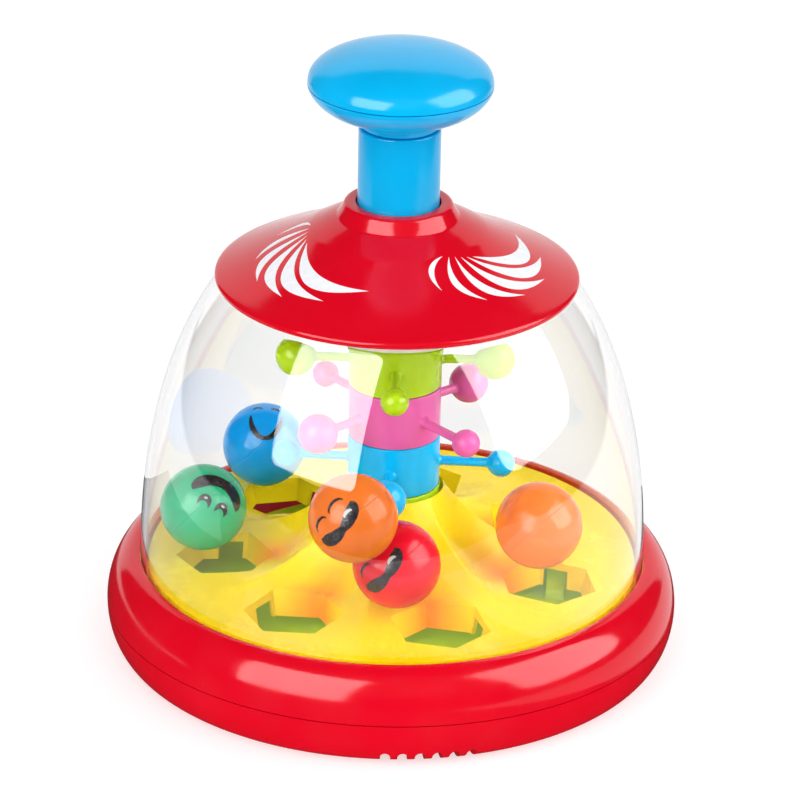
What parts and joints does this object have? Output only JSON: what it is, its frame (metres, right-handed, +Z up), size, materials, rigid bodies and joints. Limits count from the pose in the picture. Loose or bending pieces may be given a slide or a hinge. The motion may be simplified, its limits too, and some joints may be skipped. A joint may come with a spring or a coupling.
{
  "type": "press-and-spin ball popper",
  "caption": "Press-and-spin toy: a knob and twisted rod spin a rotor with knobbed arms that flicks smiling balls about under a clear dome on a round base.",
  "frame": {"origin": "centre of the base where it stands on the table", "axes": "+Z up along the spin axis towards the knob, -Y towards the side with the six finger notches"},
  "size_m": [0.1993, 0.1993, 0.2206],
  "materials": {
    "red_plastic": "moulded gloss",
    "blue_plastic": "moulded gloss",
    "yellow_plastic": "moulded gloss",
    "lime_plastic": "moulded gloss",
    "pink_plastic": "moulded gloss",
    "sky_plastic": "moulded gloss",
    "natural_nylon": "moulded satin",
    "zinc_steel": "zinc plated",
    "brass": "turned",
    "clear_styrene": "clear moulded",
    "ball_blue_plastic": "moulded gloss, printed face",
    "ball_green_plastic": "moulded gloss, printed face",
    "ball_orange_plastic": "moulded gloss, printed face",
    "ball_red_plastic": "moulded gloss, printed face",
    "ball_coral_plastic": "moulded gloss, printed face"
  },
  "bodies": {
    "base": {"base_lower_shell": "red_plastic", "base_upper_shell": "red_plastic", "floor_plate": "yellow_plastic", "dome": "clear_styrene", "hat": "red_plastic", "guide_housing": "natural_nylon", "pivot_pin": "zinc_steel", "thrust_washer": "natural_nylon", "return_spring": "zinc_steel", "base_screw_1": "zinc_steel", "base_screw_2": "zinc_steel", "base_screw_3": "zinc_steel", "base_screw_4": "zinc_steel", "collar_screw_1": "zinc_steel", "collar_screw_2": "zinc_steel", "collar_screw_3": "zinc_steel", "collar_screw_4": "zinc_steel", "hat_screw_1": "zinc_steel", "hat_screw_2": "zinc_steel", "hat_screw_3": "zinc_steel"},
    "plunger": {"plunger_tube": "blue_plastic", "knob_bowl": "blue_plastic", "knob_cap": "blue_plastic", "twist_rod": "zinc_steel", "rod_screw": "zinc_steel"},
    "nut": {"drive_nut": "natural_nylon"},
    "rotor": {"rotor_disc": "lime_plastic", "spindle_tube": "natural_nylon", "arm_ring_green": "lime_plastic", "arm_ring_pink": "pink_plastic", "arm_ring_blue": "sky_plastic", "column_cap": "lime_plastic", "clutch_ring": "lime_plastic", "pivot_bush": "brass"},
    "loose_blue": {"ball_blue": "ball_blue_plastic"},
    "loose_green": {"ball_green": "ball_green_plastic"},
    "loose_orange": {"ball_orange": "ball_orange_plastic"},
    "loose_red": {"ball_red": "ball_red_plastic"},
    "loose_coral": {"ball_coral": "ball_coral_plastic"}
  },
  "joints": [
    {"name": "plunger_press", "type": "slide", "parent": "base", "child": "plunger", "axis": [0, 0, -1], "range_m": [0, 0.024], "stiffness_N_per_m": 80, "springref_m": -0.02, "deforming": ["return_spring"]},
    {"name": "nut_spin", "type": "hinge", "parent": "base", "child": "nut", "pos_m": [0, 0, 0.11], "axis": [0, 0, 1], "range_deg": [0, 271]},
    {"name": "rotor_spin", "type": "hinge", "parent": "base", "child": "rotor", "pos_m": [0, 0, 0.02], "axis": [0, 0, 1], "continuous": true},
    {"name": "blue_hop", "type": "slide", "parent": "base", "child": "loose_blue", "axis": [0.091, -0.107, 0.9901], "range_m": [-0.001, 0.036]},
    {"name": "green_hop", "type": "slide", "parent": "base", "child": "loose_green", "axis": [0.047, -0.095, 0.9944], "range_m": [-0.005, 0.031]},
    {"name": "orange_hop", "type": "slide", "parent": "base", "child": "loose_orange", "axis": [0.3081, -0.107, 0.9453], "range_m": [-0.007, 0.033]},
    {"name": "red_hop", "type": "slide", "parent": "base", "child": "loose_red", "axis": [-0.8675, 0.3402, 0.3629], "range_m": [-0.0175, 0]},
    {"name": "coral_hop", "type": "slide", "parent": "base", "child": "loose_coral", "axis": [0.7625, -0.3428, 0.5487], "range_m": [-0.048, 0.002]}
  ],
  "couplings": [
    {"joint": "nut_spin", "follows": "plunger_press", "rad_per_m": 196.35}
  ]
}
